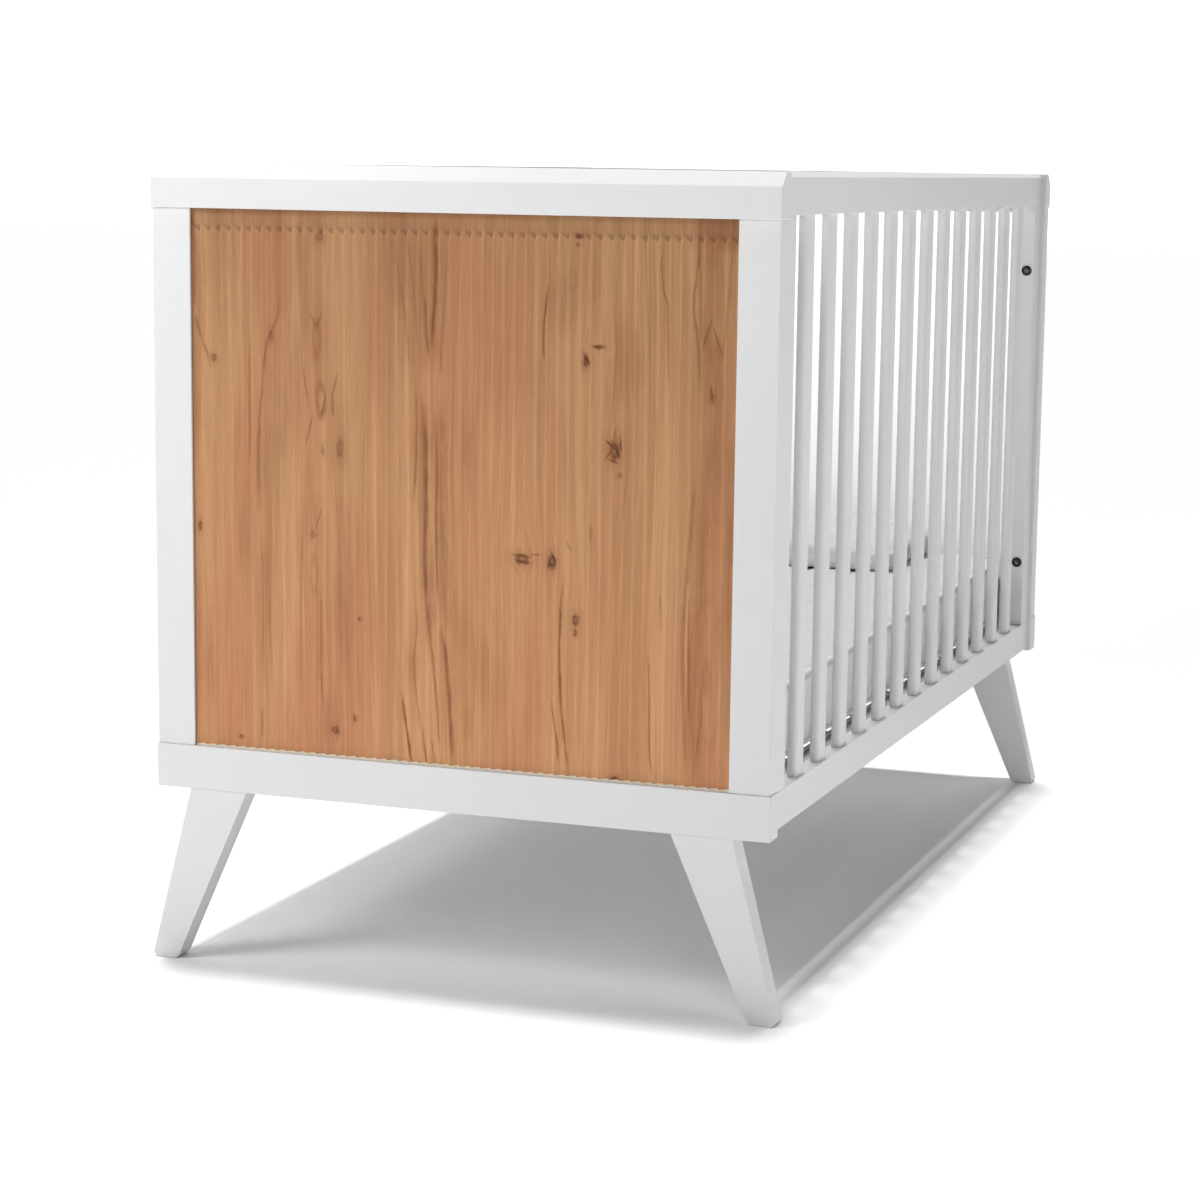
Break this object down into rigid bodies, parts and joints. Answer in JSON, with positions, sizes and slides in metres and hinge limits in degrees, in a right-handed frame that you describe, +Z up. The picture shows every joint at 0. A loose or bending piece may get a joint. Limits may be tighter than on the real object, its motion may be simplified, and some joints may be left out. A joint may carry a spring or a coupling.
{
  "type": "baby crib",
  "caption": "Baby crib with framed wood end panels on splayed legs, bolted slatted sides, a height-adjustable wire base, a mattress and a flat pillow.",
  "frame": {"origin": "on the floor, at the centre of the crib's footprint", "axes": "+X along the crib towards the head end, +Y to the back, +Z up"},
  "size_m": [1.407, 0.778, 0.94],
  "materials": {
    "white_lacquer": "satin white lacquer over solid wood",
    "oak": "knotty oak board with a clear matt finish",
    "bolt_steel": "dark zinc plate",
    "base_steel": "silver-grey powder coat",
    "mattress_cover": "quilted white knit",
    "pillow_cover": "plain white cotton weave"
  },
  "bodies": {
    "crib_frame": {"foot_end_top_rail": "white_lacquer", "foot_end_bottom_rail": "white_lacquer", "foot_end_front_stile": "white_lacquer", "foot_end_back_stile": "white_lacquer", "foot_end_front_leg": "white_lacquer", "foot_end_back_leg": "white_lacquer", "head_end_top_rail": "white_lacquer", "head_end_bottom_rail": "white_lacquer", "head_end_front_stile": "white_lacquer", "head_end_back_stile": "white_lacquer", "head_end_front_leg": "white_lacquer", "head_end_back_leg": "white_lacquer", "foot_end_panel": "oak", "head_end_panel": "oak", "front_top_rail": "white_lacquer", "front_bottom_rail": "white_lacquer", "back_top_rail": "white_lacquer", "back_bottom_rail": "white_lacquer", "front_foot_stile": "white_lacquer", "front_head_stile": "white_lacquer", "back_foot_stile": "white_lacquer", "back_head_stile": "white_lacquer", "front_slat_01": "white_lacquer", "front_slat_02": "white_lacquer", "front_slat_03": "white_lacquer", "front_slat_04": "white_lacquer", "front_slat_05": "white_lacquer", "front_slat_06": "white_lacquer", "front_slat_07": "white_lacquer", "front_slat_08": "white_lacquer", "front_slat_09": "white_lacquer", "front_slat_10": "white_lacquer", "front_slat_11": "white_lacquer", "front_slat_12": "white_lacquer", "front_slat_13": "white_lacquer", "back_slat_01": "white_lacquer", "back_slat_02": "white_lacquer", "back_slat_03": "white_lacquer", "back_slat_04": "white_lacquer", "back_slat_05": "white_lacquer", "back_slat_06": "white_lacquer", "back_slat_07": "white_lacquer", "back_slat_08": "white_lacquer", "back_slat_09": "white_lacquer", "back_slat_10": "white_lacquer", "back_slat_11": "white_lacquer", "back_slat_12": "white_lacquer", "back_slat_13": "white_lacquer", "front_foot_bolt_lower": "bolt_steel", "front_foot_bolt_upper": "bolt_steel", "front_head_bolt_lower": "bolt_steel", "front_head_bolt_upper": "bolt_steel", "back_foot_bolt_lower": "bolt_steel", "back_foot_bolt_upper": "bolt_steel", "back_head_bolt_lower": "bolt_steel", "back_head_bolt_upper": "bolt_steel"},
    "mattress_base": {"support_frame": "base_steel", "wire_deck": "base_steel"},
    "bedding": {"mattress": "mattress_cover", "pillow": "pillow_cover"}
  },
  "joints": [
    {"name": "base_height", "type": "slide", "parent": "crib_frame", "child": "mattress_base", "axis": [0, 0, 1], "range_m": [0, 0.3]},
    {"name": "bedding_lift", "type": "slide", "parent": "mattress_base", "child": "bedding", "axis": [0, 0, 1], "range_m": [0, 0.6]}
  ]
}
